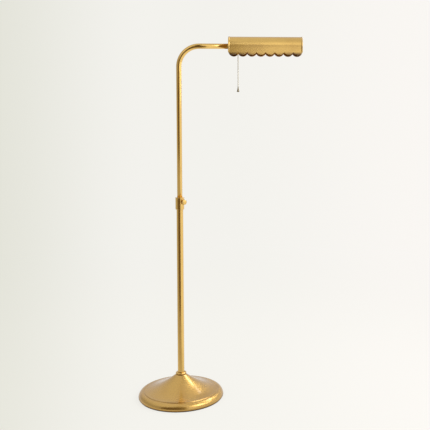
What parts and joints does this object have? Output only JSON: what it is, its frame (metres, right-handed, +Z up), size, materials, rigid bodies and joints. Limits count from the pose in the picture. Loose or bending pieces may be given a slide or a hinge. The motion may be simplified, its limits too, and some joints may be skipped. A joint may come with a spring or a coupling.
{
  "type": "reading floor lamp",
  "caption": "Brass reading floor lamp with a round weighted base, a telescoping swivel pole, a bent arm and a tilting scalloped trough shade with a pull chain.",
  "frame": {"origin": "centre of the base's underside, on the floor", "axes": "+Z up along the pole, +X along the arm towards the shade, -Y towards the thumbscrew's side"},
  "size_m": [0.472, 0.2465, 1.0416],
  "materials": {
    "base_brass": "satin, spun",
    "tube_brass": "satin",
    "shade_brass": "satin",
    "fitting_brass": "turned",
    "aged_brass": "aged",
    "chain_metal": "bright",
    "zinc_steel": "zinc plated",
    "black_steel": "blacked",
    "iron": "cast",
    "felt": "felt",
    "nylon": "moulded",
    "phenolic": "moulded",
    "card": "fibre card",
    "black_rubber": "moulded",
    "frosted_glass": "frosted"
  },
  "bodies": {
    "root": {"foot_pad": "felt", "base_weight": "iron", "base_shell": "base_brass", "base_washer": "zinc_steel", "base_nut": "zinc_steel", "spacer_tube": "zinc_steel", "base_nipple": "zinc_steel", "cord_gland": "black_rubber", "neck_ring": "fitting_brass", "tube_insert": "zinc_steel", "lower_tube": "tube_brass", "collar": "fitting_brass", "grub_screw": "black_steel"},
    "guide": {"guide_bush": "nylon"},
    "stem": {"stem_tube": "tube_brass", "stop_ring": "zinc_steel", "end_plug": "zinc_steel", "arm_insert": "zinc_steel", "arm_nipple": "zinc_steel", "arm_washer": "nylon", "inner_washer": "nylon", "spring_washer": "zinc_steel", "lock_nut": "zinc_steel", "socket_cap": "fitting_brass", "socket_shell": "fitting_brass", "socket_liner": "card", "socket_core": "phenolic", "screw_shell": "fitting_brass", "centre_contact": "fitting_brass", "chain_spout": "fitting_brass", "bulb_base": "zinc_steel", "bulb_glass": "frosted_glass"},
    "shoe": {"clamp_shoe": "nylon"},
    "knob": {"thumbscrew": "fitting_brass"},
    "shade": {"shade_shell": "shade_brass", "near_end_cap": "shade_brass", "far_end_cap": "shade_brass"},
    "pull": {"pull_link": "zinc_steel", "chain_upper": "chain_metal"},
    "chain": {"chain_lower": "chain_metal"},
    "bell": {"chain_bell": "aged_brass"}
  },
  "joints": [
    {"name": "stem_height", "type": "slide", "parent": "root", "child": "guide", "axis": [0, 0, 1], "range_m": [-0.2, 0.2]},
    {"name": "stem_swivel", "type": "hinge", "parent": "guide", "child": "stem", "pos_m": [0, 0, 0.31], "axis": [0, 0, 1], "range_deg": [-170, 170]},
    {"name": "screw_travel", "type": "slide", "parent": "root", "child": "shoe", "axis": [0.7071, -0.7071, 0], "range_m": [0, 0.0016]},
    {"name": "thumbscrew_turn", "type": "hinge", "parent": "shoe", "child": "knob", "pos_m": [0, 0, 0.572], "axis": [0.7071, -0.7071, 0], "range_deg": [0, 720]},
    {"name": "shade_tilt", "type": "hinge", "parent": "stem", "child": "shade", "pos_m": [0.1405, 0, 1.014], "axis": [1, 0, 0], "range_deg": [-35, 35]},
    {"name": "chain_pull", "type": "slide", "parent": "stem", "child": "pull", "axis": [0, 0, -1], "range_m": [0, 0.008], "stiffness_N_per_m": 300, "springref_m": -0.003},
    {"name": "chain_swing", "type": "hinge", "parent": "pull", "child": "chain", "pos_m": [0.1675, 0, 0.9659], "axis": [1, 0, 0], "range_deg": [-30, 30]},
    {"name": "bell_swing", "type": "hinge", "parent": "chain", "child": "bell", "pos_m": [0.1675, 0, 0.9029], "axis": [0, 1, 0], "range_deg": [-30, 30]}
  ],
  "couplings": [
    {"joint": "thumbscrew_turn", "follows": "screw_travel", "rad_per_m": 7854}
  ]
}
